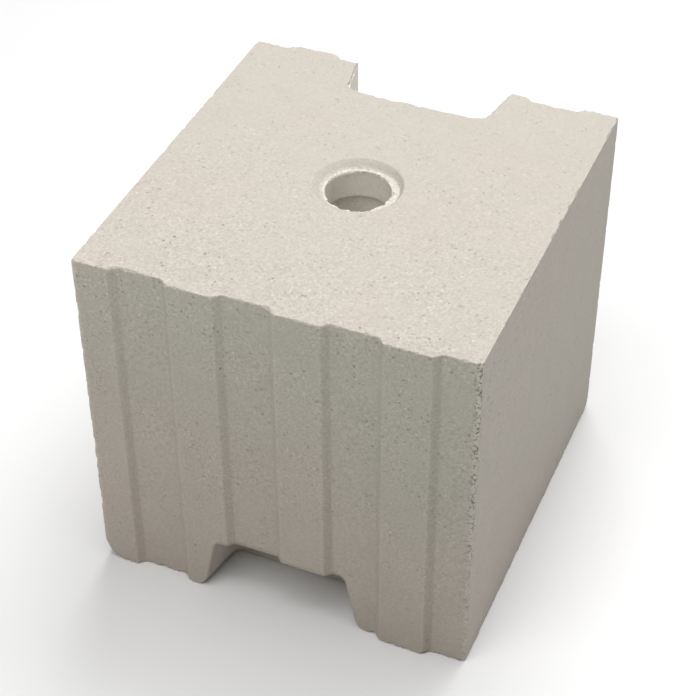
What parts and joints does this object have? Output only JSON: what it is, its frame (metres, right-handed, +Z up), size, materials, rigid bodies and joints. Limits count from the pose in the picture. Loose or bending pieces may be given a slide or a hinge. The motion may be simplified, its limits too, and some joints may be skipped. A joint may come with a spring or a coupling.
{
  "type": "calcium silicate block",
  "caption": "Calcium silicate wall block with ribbed interlocking ends, a grip hole through its middle with a dished rim, and a finger pocket in each end",
  "frame": {"origin": "middle of the underside, on the floor", "axes": "+X across the wall, +Y along the wall from the front ribbed end to the back one, +Z up"},
  "size_m": [0.24, 0.252, 0.238],
  "materials": {
    "calcium_silicate": "pressed and steam hardened sand and lime, matt off-white with fine dark specks"
  },
  "bodies": {
    "root": {"block": "calcium_silicate"}
  },
  "joints": []
}
